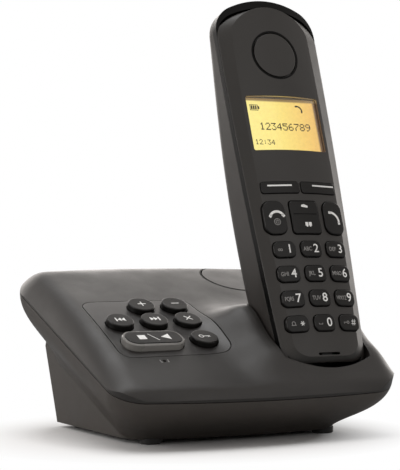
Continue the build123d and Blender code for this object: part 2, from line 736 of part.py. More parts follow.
# ================================================================ handset shells
hull = grip_hull(0)
core = grip_hull(GRIP_WALL)
trim_top = -BEVEL_EDGE
trim_bottom = trim_top - TRIM_DEPTH


def crown_under(lift):
    """Everything under the crowned face line, raised or lowered by a lift."""
    marks = (GRIP_BOTTOM - 6, GRIP_TOP + 6)
    return loft([grip_section(v, lift, 0) for v in marks])


def face_block():
    """The front shell's outside: crowned face and slanted sides."""
    rise = BEVEL_EDGE + 1.0
    crown_drop = GRIP_HALF_MIDDLE**2 / (2 * FACE_CROWN)
    growth = rise / (BEVEL_EDGE - crown_drop)
    low = Pos(0, 0, trim_top) * grip_outline(0, BROW)
    high = Pos(0, 0, trim_top + rise) * grip_outline(0, BROW, BEVEL_LOW * growth, BEVEL_HIGH * growth)
    return loft([low, high], ruled=True) & crown_under(0)


def key_hole(u, v, size, slack, corner):
    """A rounded slot through the face."""
    outline = Pos(u, v) * RectangleRounded(size[0] + 2 * slack, size[1] + 2 * slack, corner + slack)
    return prism(outline, -9, 9)


DIAL_NAMES = ("star", "0", "hash", "7", "8", "9", "4", "5", "6", "1", "2", "3")


def dial_places():
    """Each dial key's name and middle, from the bottom row up."""
    places = {}
    for index, name in enumerate(DIAL_NAMES):
        u = (index % 3 - 1) * DIAL_PITCH_U
        places["key_" + name] = (u, (index // 3) * DIAL_PITCH_V)
    return places


SIDE_PLACES = {"end_key": (-SIDE_KEY_U, NAV_V), "talk_key": (SIDE_KEY_U, NAV_V)}
SOFT_PLACES = {"soft_key_left": (-SOFT_KEY_U, SOFT_V), "soft_key_right": (SOFT_KEY_U, SOFT_V)}
SIDE_CORNER = 3.4
SOFT_CORNER = 1.0
NAV_CORNER = 1.4
NAV_SLACK = 0.4
SOFT_PROUD = 0.35
BOARD_PEGS = [(-14.6, 65.5), (14.6, 65.5), (-13.0, -8.5), (13.0, -8.5)]
PEG_RADIUS = 1.1
HAND_BOSS = 2.2
HAND_SCREW = 0.9
HAND_BOSS_END = -9.0
hand_board_top = LIGHT_BOTTOM


def front_shell():
    """The handset's face, with its key, window, earpiece and voice openings."""
    shell = face_block() - core
    for u, v in dial_places().values():
        shell -= key_hole(u, v, DIAL_KEY, KEY_SLACK, DIAL_CORNER)
    for u, v in SIDE_PLACES.values():
        shell -= key_hole(u, v, SIDE_KEY, KEY_SLACK, SIDE_CORNER)
    for u, v in SOFT_PLACES.values():
        shell -= key_hole(u, v, SOFT_KEY, KEY_SLACK, SOFT_CORNER)
    shell -= key_hole(0, NAV_V, NAV_KEY, NAV_SLACK, NAV_CORNER)
    shell -= key_hole(0, WINDOW_V, WINDOW, 0, 0.8)
    shell -= key_hole(0, VOICE_V, VOICE_SLOT, 0, VOICE_SLOT[1] / 2 - 0.01)
    recess = Pos(0, EAR_V, 0) * Cylinder(EAR_RADIUS, 20)
    shell -= recess - crown_under(-EAR_CAP_THICK)
    for step in range(6):
        turn = math.radians(60 * step)
        hole = Pos(5 * math.cos(turn), EAR_V + 5 * math.sin(turn), 0) * Cylinder(0.7, 20)
        shell -= hole
    pegs = [(u, v, PEG_RADIUS, hand_board_top) for u, v in BOARD_PEGS]
    pegs += [(side * HAND_SCREW_U, HAND_SCREW_V, HAND_BOSS, HAND_BOSS_END) for side in (-1, 1)]
    for u, v, radius, end in pegs:
        shell += (Pos(u, v, end) * Cylinder(radius, 20, align=LOW)) & crown_under(-GRIP_WALL / 2)
    for side in (-1, 1):
        bore = Pos(side * HAND_SCREW_U, HAND_SCREW_V, HAND_BOSS_END) * Cylinder(HAND_SCREW + SCREW_SLACK, 9.6)
        shell -= bore
    return GRIP * only(shell)


def trim_frame():
    """The black frame between the shells, wider across the top."""
    ring = prism(grip_outline(0), trim_bottom, trim_top - SHELL_GAP)
    brow = prism(grip_outline(0), trim_top - SHELL_GAP, 5) & crown_under(-BROW_DROP)
    brow -= prism(grip_outline(-SHELL_GAP, BROW), -9, 9)
    band = ring + only(brow)
    return GRIP * only(band - core)


def door_outline(extra=0.0):
    return Pos(0, CELL_V) * RectangleRounded(
        BATTERY_DOOR[0] + 2 * extra, BATTERY_DOOR[1] + 2 * extra, DOOR_CORNER + extra
    )


bay_length = CELL_LENGTH + 2 * BAY_END + 2 * CELL_GAP
bay_width = 4 * CELL_RADIUS + 3 * CELL_GAP
cell_u = CELL_RADIUS + CELL_GAP / 2
cell_w = BAY_FLOOR - CELL_GAP - CELL_RADIUS


def charge_pad(side, slack=0.0):
    """One metal pad in the handset's foot."""
    block = Box(PAD_SIZE[0] + 2 * slack, PAD_THICK + 2 * slack, PAD_SIZE[1] + 2 * slack)
    return Pos(side * PAD_U, pad_low + PAD_THICK / 2, PAD_W) * block


def rear_shell():
    """The handset's back, with the battery bay and the door's opening."""
    back = split(hull, bisect_by=Plane.XY.offset(trim_bottom - SHELL_GAP), keep=Keep.BOTTOM)
    shell = back - core
    ledge = 2 * (DOOR_SLACK + BAY_WALL)
    bay = Pos(0, CELL_V, BAY_FLOOR + BAY_WALL) * Box(
        BATTERY_DOOR[0] + ledge, BATTERY_DOOR[1] + ledge, 30, align=HIGH
    )
    shell += bay & grip_hull(GRIP_WALL / 2)
    shell -= Pos(0, CELL_V, BAY_FLOOR) * Box(bay_width, bay_length, 30, align=HIGH)
    shell -= prism(door_outline(DOOR_SLACK), -60, BAY_FLOOR) - grip_hull(GRIP_WALL + SHELL_GAP)
    for side in (-1, 1):
        u = side * HAND_SCREW_U
        post = Pos(u, HAND_SCREW_V, HAND_BOSS_END - SHELL_GAP) * Cylinder(HAND_BOSS, 30, align=HIGH)
        shell += post & back
        bore = Pos(u, HAND_SCREW_V, 0) * Cylinder(HAND_SCREW + SCREW_SLACK, 60)
        sink = Pos(u, HAND_SCREW_V, HAND_BOSS_END - 3) * Cylinder(HAND_BOSS - 0.6, 30, align=HIGH)
        shell -= bore + sink
        shell -= charge_pad(side, 0.02)
    for step in (-1, 0, 1):
        shell -= Pos(0, RINGER_V + 3 * step, -20) * Box(9, 1.2, 14)
    return GRIP * only(shell)


def battery_door():
    """The clip-in door over the battery bay."""
    door = prism(door_outline(), -60, BAY_FLOOR) & hull
    return GRIP * only(door - grip_hull(GRIP_WALL))


# ================================================================ handset front pieces
def display_window():
    outline = Pos(0, WINDOW_V) * RectangleRounded(
        WINDOW[0] - 2 * WINDOW_SLACK, WINDOW[1] - 2 * WINDOW_SLACK, 0.7
    )
    plate = prism(outline, -5, 5) & crown_under(0)
    return GRIP * only(plate - crown_under(-WINDOW_THICK))


def lcd_glass():
    outline = Pos(0, WINDOW_V) * Rectangle(WINDOW[0] - 4 * WINDOW_SLACK, WINDOW[1] - 4 * WINDOW_SLACK)
    return GRIP * prism(outline, LCD_TOP - LCD_THICK, LCD_TOP)


def lcd_backlight():
    outline = Pos(0, WINDOW_V) * RectangleRounded(WINDOW[0] + 2 * LIGHT_MARGIN, WINDOW[1] + 2 * LIGHT_MARGIN, 1)
    return GRIP * prism(outline, LIGHT_BOTTOM, LCD_TOP - LCD_THICK)


def earpiece_cap():
    disc = Pos(0, EAR_V, 0) * Cylinder(EAR_RADIUS - EAR_GROOVE, 20)
    return GRIP * only((disc & crown_under(0)) - crown_under(-EAR_CAP_THICK))


def earpiece_receiver():
    top = -GRIP_WALL - RECEIVER_RADIUS**2 / (2 * FACE_CROWN) - WINDOW_SLACK
    return GRIP * Pos(0, EAR_V, top) * Cylinder(RECEIVER_RADIUS, RECEIVER_THICK, align=HIGH)


def handset_microphone():
    return GRIP * Pos(0, VOICE_V + 0.5, -GRIP_WALL - 2 * WINDOW_SLACK) * Cylinder(2.4, 2.0, align=HIGH)


def face_key(u, v, size, corner, proud, headroom=KEY_HEADROOM, side=KEY_FLANGE):
    """A key with a cap that follows the crowned face and a flange under the shell."""
    outline = Pos(u, v) * RectangleRounded(*size, corner)
    wide = Pos(u, v) * RectangleRounded(size[0] + 2 * side, size[1] + 2 * KEY_FLANGE, corner + side)
    cap = prism(outline, KEY_BOTTOM, 5) & crown_under(proud)
    cap = fillet(cap.faces().sort_by(Axis.Z)[-1].edges(), min(0.45, proud * 0.6))
    flange = prism(wide, KEY_BOTTOM, 5) & crown_under(-GRIP_WALL - headroom)
    return cap + flange


def nav_rocker():
    """The up and down rocker, on a nub over the key mat."""
    headroom = NAV_KEY[1] / 2 * math.sin(math.radians(NAV_SWING)) + 2 * WINDOW_SLACK
    key = face_key(0, NAV_V, NAV_KEY, NAV_CORNER, DIAL_PROUD - 0.3, headroom)
    nub = Pos(0, NAV_V, KEY_BOTTOM - KEY_TRAVEL - WINDOW_SLACK) * Box(4, 1.2, 2, align=LOW)
    return GRIP * (key + nub)


# ================================================================ handset inside
def handset_key_mat():
    low = dial_places()["key_0"][1] - DIAL_KEY[1]
    high = SOFT_V + SOFT_KEY[1]
    outline = Pos(0, (low + high) / 2) * RectangleRounded(2 * HAND_BOARD_HALF, high - low, 2)
    return GRIP * prism(outline, hand_board_top, hand_board_top + HAND_MAT_THICK)


def handset_circuit_board():
    length = HAND_BOARD_TOP_END - HAND_BOARD_BOTTOM
    outline = Pos(0, HAND_BOARD_BOTTOM + length / 2) * RectangleRounded(2 * HAND_BOARD_HALF, length, 4)
    board = prism(outline, hand_board_top - HAND_BOARD_THICK, hand_board_top)
    for side in (-1, 1):
        board -= Pos(side * HAND_SCREW_U, HAND_SCREW_V, 0) * Cylinder(HAND_BOSS + 0.3, 30)
    return GRIP * board


def handset_board_parts():
    """Shield can and two small parts on the back of the board."""
    under = hand_board_top - HAND_BOARD_THICK
    parts = [
        Pos(0, 5, under) * Box(24, 20, 2.4, align=HIGH),
        Pos(-10, 76, under) * Box(6, 6, 2, align=HIGH),
        Pos(8, 76, under) * Cylinder(3, 4, align=HIGH),
    ]
    return Compound([GRIP * part for part in parts])


def ringer():
    under = hand_board_top - HAND_BOARD_THICK
    return GRIP * Pos(0, RINGER_V - 1, under) * Cylinder(RINGER_RADIUS - 1, RINGER_THICK, align=HIGH)


def battery_cells():
    cells = []
    for side in (-1, 1):
        body = Cylinder(CELL_RADIUS, CELL_LENGTH - 1, align=LOW)
        nub = Pos(0, 0, CELL_LENGTH - 1) * Cylinder(CELL_RADIUS / 2.6, 1, align=LOW)
        cell = Pos(0, 0, -CELL_LENGTH / 2) * (body + nub)
        turned = Rot(90 * side, 0, 0) * cell
        cells.append(GRIP * Pos(side * cell_u, CELL_V, cell_w) * turned)
    return Compound(cells)


def battery_contacts():
    """A metal leaf at each end of each cell."""
    leaves = []
    for side in (-1, 1):
        for end in (-1, 1):
            v = CELL_V + end * (bay_length / 2 - 0.3)
            leaf = Pos(side * cell_u, v, cell_w) * Box(6, 0.5, 7)
            coil = Pos(side * cell_u, v - end * 0.45, cell_w) * Box(3, 0.5, 3)
            leaves.append(GRIP * (leaf + coil))
    return Compound(leaves)


def charge_pads():
    return Compound([GRIP * charge_pad(side) for side in (-1, 1)])


def handset_screws():
    screws = []
    for side in (-1, 1):
        place = Pos(side * HAND_SCREW_U, HAND_SCREW_V, HAND_BOSS_END - 3)
        screws.append(GRIP * place * screw(7.0, HAND_SCREW, HAND_BOSS - 0.8, 1.2))
    return Compound(screws)


# ================================================================ all nodes
nodes["base_cover"] = base_cover()
nodes["base_shell"] = base_shell()
nodes["control_panel"] = control_panel()
nodes["base_feet"] = base_feet()
nodes["base_circuit_board"] = base_circuit_board()
nodes["base_board_parts"] = base_board_parts()
nodes["base_key_mat"] = base_key_mat()
nodes["base_screws"] = base_screws()
nodes["speaker_frame"] = speaker_frame()
nodes["speaker_cone"] = speaker_cone()
nodes["speaker_magnet"] = speaker_magnet()
nodes["line_jack"] = jack("line_jack")
nodes["power_jack"] = jack("power_jack")
nodes["base_microphone"] = base_microphone()
nodes["charge_springs"] = charge_springs()
for key_name, (key_p, key_q) in ROUND_KEYS.items():
    nodes[key_name] = round_key(key_p, key_q)
nodes["play_stop_skirt"] = play_stop_skirt()
nodes["play_stop_cap"] = play_stop_cap()
nodes["locating_key"] = locating_key()

nodes["handset_front_shell"] = front_shell()
nodes["handset_trim_frame"] = trim_frame()
nodes["handset_rear_shell"] = rear_shell()
nodes["battery_door"] = battery_door()
nodes["display_window"] = display_window()
nodes["lcd_glass"] = lcd_glass()
nodes["lcd_backlight"] = lcd_backlight()
nodes["earpiece_cap"] = earpiece_cap()
nodes["earpiece_receiver"] = earpiece_receiver()
nodes["handset_microphone"] = handset_microphone()
nodes["handset_key_mat"] = handset_key_mat()
nodes["handset_circuit_board"] = handset_circuit_board()
nodes["handset_board_parts"] = handset_board_parts()
nodes["ringer"] = ringer()
nodes["battery_cells"] = battery_cells()
nodes["battery_contacts"] = battery_contacts()
nodes["charge_pads"] = charge_pads()
nodes["handset_screws"] = handset_screws()
for key_name, (key_u, key_v) in dial_places().items():
    nodes[key_name] = GRIP * face_key(key_u, key_v, DIAL_KEY, DIAL_CORNER, DIAL_PROUD)
for key_name, (key_u, key_v) in SIDE_PLACES.items():
    nodes[key_name] = GRIP * face_key(key_u, key_v, SIDE_KEY, SIDE_CORNER, DIAL_PROUD)
for key_name, (key_u, key_v) in SOFT_PLACES.items():
    nodes[key_name] = GRIP * face_key(key_u, key_v, SOFT_KEY, SOFT_CORNER, SOFT_PROUD, side=0)
nodes["nav_rocker"] = nav_rocker()

# ================================================================ centre on the footprint and write
boxes = [solid.bounding_box() for solid in nodes.values()]
middle_x = (min(box.min.X for box in boxes) + max(box.max.X for box in boxes)) / 2
middle_y = (min(box.min.Y for box in boxes) + max(box.max.Y for box in boxes)) / 2
centre = Pos(-middle_x, -middle_y, 0)
print("centred by", centre.position)
os.makedirs("parts", exist_ok=True)
for node_name, solid in nodes.items():
    export_step(centre * solid, f"parts/{node_name}.step")
print(len(nodes), "nodes")
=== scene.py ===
import math
import bpy
import bmesh
from mathutils import Matrix, Vector


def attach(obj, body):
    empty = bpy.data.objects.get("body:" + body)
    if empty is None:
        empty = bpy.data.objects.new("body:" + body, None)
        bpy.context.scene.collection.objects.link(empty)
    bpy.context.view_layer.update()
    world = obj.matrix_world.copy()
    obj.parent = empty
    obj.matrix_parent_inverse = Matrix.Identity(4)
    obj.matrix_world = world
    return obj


# An answering machine with a cordless handset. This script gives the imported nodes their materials, prints the
# marks on the keys and in the display, and lights and frames the picture. Sizes and marks are in millimetres,
# which place_mesh turns into the metres of the frame; materials, floor and lamps are in metres.

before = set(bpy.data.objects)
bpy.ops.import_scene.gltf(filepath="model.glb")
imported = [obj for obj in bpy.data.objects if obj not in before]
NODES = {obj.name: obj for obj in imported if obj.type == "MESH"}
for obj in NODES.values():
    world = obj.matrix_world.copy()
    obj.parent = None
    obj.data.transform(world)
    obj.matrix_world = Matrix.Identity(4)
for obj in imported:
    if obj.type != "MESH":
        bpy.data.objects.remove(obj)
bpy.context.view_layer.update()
MM = 0.001

# ---------------------------------------------------------------- the frames and sizes of part.py
SHIFT_Y = -0.125046  # how far the packer moved the part to centre its footprint
BASE_WIDTH, BASE_LENGTH = 122.0, 118.4
SEAM_TILT = math.radians(21.0)
SEAM_HEIGHT = 37.6
FRONT_BOW, REAR_BOW = 3.5, 3.0
COVER_RISE, COVER_CREST, COVER_CURVE, COVER_CROWN, COVER_EDGE = 10.6, 22.0, 0.001, 0.6, 1.2
SIDE_ROLL, FRONT_ROLL, REAR_ROLL, ROLL_POWER = 11.0, 5.0, 18.0, 2.6
MOUND_RISE, MOUND_PEAK, MOUND_FRONT_FALL, MOUND_REAR_FALL = 10.0, -17.0, 17.0, 14.0
MOUND_LEFT_FALL, MOUND_FLAT = 12.0, 21.0
SILL_RISE, SILL_PLACE, SILL_FALL = 4.0, -42.0, 10.0
DISC_AT, DISC_RADIUS, DISC_GROOVE = (30.8, 34.5), 14.1, 0.5
MICROPHONE_AT = (-35.3, -36.8)

PANEL_MIDDLE = (-27.4, -11.2)
PANEL_TILT = SEAM_TILT + math.radians(3.798)
PITCH, REAR_ROW, MIDDLE_ROW, FRONT_ROW = 14.4, 14.7, 2.1, -12.9

HANDSET_X = 30.0
LEAN = math.radians(18.9)
GRIP_ORIGIN = (HANDSET_X, -42.7 + SHIFT_Y, 43.5)
CROWN = 90.0  # radius of the face, which is crowned across
EAR_V, EAR_RADIUS = 112.4, 9.9
DIAL_U, DIAL_V = 11.62, 9.925
NAV_V, SIDE_U = 42.8, 13.3
SOFT_BARS, SOFT_BAR_V = {"soft_key_left": -8.94, "soft_key_right": 10.96}, 56.1
DISPLAY_AT = (0, 82.8, -2.79)

# how high the marks lie over the panel and over the handset's face
BASE_KEY_TOP, PLAY_TOP = 2.21, 2.46
KEY_TOP, NAV_TOP, SOFT_TOP = 0.92, 0.62, 0.37


def axes(origin, up):
    """A frame: x across, y up the face, z out of the face."""
    z = Vector(up).normalized()
    x = Vector((1, 0, 0))
    y = z.cross(x)
    m = Matrix((x, y, z)).transposed().to_4x4()
    m.translation = Vector(origin)
    return m


def bell(place, middle, fall_low, fall_high, flat=0.0):
    """A smooth hump about a middle, with its own fall on each side."""
    off = abs(place - middle) - flat
    if off <= 0:
        return 1.0
    fall = fall_low if place < middle else fall_high
    return math.exp(-((off / fall) ** 2))


def edge_roll(distance, width):
    """0 where the rounded edge has run out, 1 at the rim."""
    return 1 - min(distance / width, 1)


def cover_height(x, s):
    """Height of the cover's skin over the seam, as part.py has it."""
    half = BASE_WIDTH / 2
    front = -BASE_LENGTH / 2 + FRONT_BOW * (x / half) ** 2
    rear = BASE_LENGTH / 2 - REAR_BOW * (x / half) ** 2
    across = edge_roll(half - abs(x), SIDE_ROLL)
    along = max(edge_roll(s - front, FRONT_ROLL), edge_roll(rear - s, REAR_ROLL))
    fall = (max(across, 0) ** 2 + max(along, 0) ** 2) ** (ROLL_POWER / 2)
    top = COVER_RISE - COVER_CURVE * (s - COVER_CREST) ** 2 - COVER_CROWN * (x / half) ** 2
    swell = MOUND_RISE * bell(s, MOUND_PEAK, MOUND_FRONT_FALL, MOUND_REAR_FALL)
    swell += SILL_RISE * bell(s, SILL_PLACE, SILL_FALL, SILL_FALL)
    top += swell * bell(x, HANDSET_X, MOUND_LEFT_FALL, BASE_WIDTH, MOUND_FLAT)
    return COVER_EDGE + (top - COVER_EDGE) * (1 - fall)


SLOPE = axes((0, SHIFT_Y, SEAM_HEIGHT), (0, -math.sin(SEAM_TILT), math.cos(SEAM_TILT)))
GRIP = axes(GRIP_ORIGIN, (0, -math.cos(LEAN), math.sin(LEAN)))
PANEL_AT = SLOPE @ Vector((*PANEL_MIDDLE, cover_height(*PANEL_MIDDLE)))
PANEL = axes(PANEL_AT, (0, -math.sin(PANEL_TILT), math.cos(PANEL_TILT)))
DISPLAY = GRIP @ Matrix.Translation(DISPLAY_AT)


def face_place(u, v, lift=0.0):
    """A frame on the handset's crowned face at (u, v), raised by lift."""
    turn = math.asin(u / CROWN)
    w = CROWN * math.cos(turn) - CROWN + lift
    return GRIP @ Matrix.Translation((u, v, w)) @ Matrix.Rotation(turn, 4, "Y")


def skin_place(x, s, lift=0.0):
    """A frame on the cover's skin at (x, s), raised by lift."""
    e = 0.5
    dx = (cover_height(x + e, s) - cover_height(x - e, s)) / (2 * e)
    ds = (cover_height(x, s + e) - cover_height(x, s - e)) / (2 * e)
    z = Vector((-dx, -ds, 1)).normalized()
    y = z.cross(Vector((1, 0, 0))).normalized()
    m = Matrix((y.cross(z), y, z)).transposed().to_4x4()
    m.translation = Vector((x, s, cover_height(x, s))) + z * lift
    return SLOPE @ m


# ---------------------------------------------------------------- node helpers
def new_material(name):
    mat = bpy.data.materials.new(name)
    mat.use_nodes = True
    tree = mat.node_tree
    tree.nodes.clear()
    return mat, tree.nodes, tree.links


def noise(nodes, links, coord, scale, detail=3.0, rough=0.55):
    n = nodes.new("ShaderNodeTexNoise")
    n.inputs["Scale"].default_value = scale
    n.inputs["Detail"].default_value = detail
    n.inputs["Roughness"].default_value = rough
    links.new(coord, n.inputs["Vector"])
    return n.outputs["Fac"]


def remap(nodes, links, value, low, high, start=0.3, stop=0.7):
    """low where value is at start, high where it is at stop, and held beyond both."""
    n = nodes.new("ShaderNodeMapRange")
    n.inputs["From Min"].default_value = start
    n.inputs["From Max"].default_value = stop
    n.inputs["To Min"].default_value = low
    n.inputs["To Max"].default_value = high
    links.new(value, n.inputs["Value"])
    return n.outputs["Result"]


def arithmetic(nodes, links, operation, *values):
    """What a math node makes of two or three sockets."""
    n = nodes.new("ShaderNodeMath")
    n.operation = operation
    for value, socket in zip(values, n.inputs):
        links.new(value, socket)
    return n.outputs[0]


def fill(links, socket, value):
    """A link, a number or a colour, put on a socket."""
    if isinstance(value, bpy.types.NodeSocket):
        links.new(value, socket)
    elif isinstance(value, tuple):
        socket.default_value = (*value, 1)
    else:
        socket.default_value = value


def blend_colour(nodes, links, fac, a, b, how="MIX"):
    n = nodes.new("ShaderNodeMix")
    n.data_type = "RGBA"
    n.blend_type = how
    for socket, value in ((n.inputs[0], fac), (n.inputs[6], a), (n.inputs[7], b)):
        fill(links, socket, value)
    return n.outputs[2]


def blend_number(nodes, links, fac, a, b):
    n = nodes.new("ShaderNodeMix")
    n.data_type = "FLOAT"
    for socket, value in ((n.inputs[0], fac), (n.inputs[2], a), (n.inputs[3], b)):
        fill(links, socket, value)
    return n.outputs[0]


def blend_shader(nodes, links, fac, a, b):
    n = nodes.new("ShaderNodeMixShader")
    for socket, value in zip(n.inputs, (fac, a, b)):
        links.new(value, socket)
    return n.outputs[0]


def ramp_of(nodes, links, value, stops):
    """A colour ramp over value, from (place, colour) stops in rising order."""
    n = nodes.new("ShaderNodeValToRGB")
    elements = n.color_ramp.elements
    for place, _ in stops[1:-1]:
        elements.new(place)
    for element, (place, colour) in zip(elements, stops):
        element.position, element.color = place, (*colour, 1)
    links.new(value, n.inputs[0])
    return n.outputs[0]


def soft_edges(nodes, radius):
    """The normal as if edges were rounded by radius."""
    bevel = nodes.new("ShaderNodeBevel")
    bevel.samples = 4
    bevel.inputs["Radius"].default_value = radius
    return bevel.outputs["Normal"]


def edge_mask(nodes, links, radius, sharp=0.04):
    """About 1 on convex and concave edges, 0 on flats."""
    dot = nodes.new("ShaderNodeVectorMath")
    dot.operation = "DOT_PRODUCT"
    links.new(soft_edges(nodes, radius), dot.inputs[0])
    links.new(nodes.new("ShaderNodeNewGeometry").outputs["Normal"], dot.inputs[1])
    return remap(nodes, links, dot.outputs["Value"], 1.0, 0.0, 1 - sharp, 0.9995)


# ---------------------------------------------------------------- materials, in metres
def plastic(name, colour, rough, grain=0.000002, grain_scale=4200.0, vary=0.12, wear=0.25, specular=0.5,
            coat=0.0, rough_spread=0.08, metallic=0.0, sheen=0.0):
    """Moulded plastic, rubber or metal: fine grain, uneven sheen, slightly worn edges."""
    round_edges = 0.0003
    mat, nodes, links = new_material(name)
    out = nodes.new("ShaderNodeOutputMaterial")
    bsdf = nodes.new("ShaderNodeBsdfPrincipled")
    links.new(bsdf.outputs[0], out.inputs[0])
    coord = nodes.new("ShaderNodeTexCoord").outputs["Object"]
    cloud = noise(nodes, links, coord, 55.0, 4.0)
    speck = noise(nodes, links, coord, 900.0, 2.0)

    dark = tuple(c * (1 - vary) for c in colour)
    light = tuple(min(c * (1 + vary), 1) for c in colour)
    worn = tuple(min(c * 1.9 + 0.02, 1) for c in colour)
    tone = blend_colour(nodes, links, remap(nodes, links, cloud, 0, 1), dark, light)
    specks = remap(nodes, links, speck, 0.15 * wear, wear, 0.35, 0.65)
    rub = arithmetic(nodes, links, "MULTIPLY", edge_mask(nodes, links, round_edges * 1.6), specks)
    links.new(blend_colour(nodes, links, rub, tone, worn), bsdf.inputs["Base Color"])
    roughness = remap(nodes, links, cloud, rough - rough_spread, rough + rough_spread)
    links.new(roughness, bsdf.inputs["Roughness"])
    bsdf.inputs["Specular IOR Level"].default_value = specular
    bsdf.inputs["Metallic"].default_value = metallic
    if coat:
        bsdf.inputs["Coat Weight"].default_value = coat
        bsdf.inputs["Coat Roughness"].default_value = 0.06
    if sheen:
        bsdf.inputs["Sheen Weight"].default_value = sheen
        bsdf.inputs["Sheen Roughness"].default_value = 0.4

    bump = nodes.new("ShaderNodeBump")
    bump.inputs["Strength"].default_value = 1.0
    bump.inputs["Distance"].default_value = grain
    links.new(noise(nodes, links, coord, grain_scale, 2.0, 0.6), bump.inputs["Height"])
    links.new(soft_edges(nodes, round_edges), bump.inputs["Normal"])
    links.new(bump.outputs["Normal"], bsdf.inputs["Normal"])
    return mat


def window_material():
    """A clear cover with a soft gloss."""
    mat, nodes, links = new_material("clear_window")
    out = nodes.new("ShaderNodeOutputMaterial")
    clear = nodes.new("ShaderNodeBsdfTransparent")
    clear.inputs[0].default_value = (0.97, 0.97, 0.95, 1)
    gloss = nodes.new("ShaderNodeBsdfGlossy")
    fresnel = nodes.new("ShaderNodeFresnel")
    fresnel.inputs["IOR"].default_value = 1.3
    coord = nodes.new("ShaderNodeTexCoord").outputs["Object"]
    links.new(remap(nodes, links, noise(nodes, links, coord, 300, 2), 0.06, 0.14), gloss.inputs["Roughness"])
    mix = blend_shader(nodes, links, fresnel.outputs[0], clear.outputs[0], gloss.outputs[0])
    links.new(mix, out.inputs[0])
    return mat


def display_material():
    """Amber glass lit from behind, brighter at the left, darker along its right and top edges."""
    glow = [(0.0, (1.0, 0.87, 0.31)), (0.45, (0.99, 0.79, 0.24)), (1.0, (0.92, 0.53, 0.13))]
    glass_left, glass_right = 0.0136, 0.0464
    right_edge, top_edge = (0.0446, 0.0454), (0.1303, 0.1309)
    mat, nodes, links = new_material("amber_display")
    out = nodes.new("ShaderNodeOutputMaterial")
    bsdf = nodes.new("ShaderNodeBsdfPrincipled")
    links.new(bsdf.outputs[0], out.inputs[0])
    bsdf.inputs["Base Color"].default_value = (0.1, 0.08, 0.03, 1)
    bsdf.inputs["Roughness"].default_value = 0.4
    coord = nodes.new("ShaderNodeTexCoord").outputs["Object"]
    split = nodes.new("ShaderNodeSeparateXYZ")
    links.new(coord, split.inputs[0])
    across = remap(nodes, links, split.outputs["X"], 0, 1, glass_left, glass_right)
    grain = remap(nodes, links, noise(nodes, links, coord, 700, 2), 0.92, 1.0)
    tone = blend_colour(nodes, links, 1.0, ramp_of(nodes, links, across, glow), grain, "MULTIPLY")
    side = remap(nodes, links, split.outputs["X"], 0, 1, *right_edge)
    head = remap(nodes, links, split.outputs["Z"], 0, 1, *top_edge)
    framed = blend_colour(nodes, links, side, tone, (0.10, 0.045, 0.02))
    framed = blend_colour(nodes, links, head, framed, (0.26, 0.17, 0.075))
    links.new(framed, bsdf.inputs["Emission Color"])
    bsdf.inputs["Emission Strength"].default_value = 1.06
    return mat


MATERIALS = {
    "cover": plastic("cover_charcoal", (0.015, 0.013, 0.0115), 0.44, grain=0.000018, vary=0.06),
    "base": plastic("bowl_charcoal", (0.050, 0.044, 0.039), 0.5, grain=0.00002, vary=0.07, specular=0.32),
    "panel": plastic("panel_charcoal", (0.016, 0.014, 0.013), 0.36, grain=0.00001, vary=0.06, specular=0.7),
    "front": plastic("handset_charcoal", (0.018, 0.016, 0.014), 0.38, grain=0.000014, vary=0.06),
    "rear": plastic("handset_back_charcoal", (0.021, 0.018, 0.016), 0.42, grain=0.000018, vary=0.06),
    "trim": plastic("trim_black", (0.002, 0.002, 0.002), 0.3, vary=0.1, specular=0.14, wear=0.05),
    "key": plastic("key_black", (0.006, 0.0055, 0.005), 0.3, vary=0.1, specular=0.25, wear=0.15,
                   rough_spread=0.05),
    "skirt": plastic("key_grey", (0.22, 0.212, 0.2), 0.26, vary=0.08, coat=0.5, wear=0.2),
    "rubber": plastic("foot_rubber", (0.012, 0.012, 0.012), 0.75, grain=0.00004, grain_scale=1800,
                      sheen=0.2),
    "mat": plastic("mat_silicone", (0.16, 0.16, 0.16), 0.6, grain=0.00002),
    "steel": plastic("steel", (0.5, 0.5, 0.5), 0.3, metallic=1.0, grain=0.00001),
    "nickel": plastic("nickel", (0.66, 0.63, 0.56), 0.24, metallic=1.0, grain=0.000006),
    "tin": plastic("tinned_can", (0.6, 0.6, 0.6), 0.35, metallic=1.0, grain=0.00001),
    "board": plastic("board_green", (0.015, 0.09, 0.03), 0.35, grain=0.00001, coat=0.3),
    "magnet": plastic("magnet_grey", (0.03, 0.03, 0.032), 0.6, grain=0.00003),
    "cone": plastic("cone_paper", (0.02, 0.02, 0.02), 0.85, grain=0.00006, grain_scale=1500),
    "jack": plastic("jack_black", (0.012, 0.012, 0.012), 0.35, grain=0.00001),
    "cell": plastic("cell_sleeve", (0.04, 0.22, 0.09), 0.3, coat=0.4),
    "guide": plastic("light_guide", (0.75, 0.74, 0.7), 0.5),
    "ink": plastic("legend_white", (0.97, 0.96, 0.94), 0.5, vary=0.04, wear=0.0),
    "grey_ink": plastic("legend_grey", (0.34, 0.33, 0.32), 0.5, vary=0.04, wear=0.0),
    # painted shade: a matt black sheet laid beside grooves and across the rocker, where they only look dark
    # from shade
    "groove_shade": plastic("painted_groove_shade", (0.002, 0.002, 0.002), 0.6, vary=0.1, wear=0.0, specular=0.1),
    "segment": plastic("segment_dark", (0.03, 0.02, 0.006), 0.6, vary=0.05, wear=0.0),
    "window": window_material(),
    "lcd": display_material(),
}

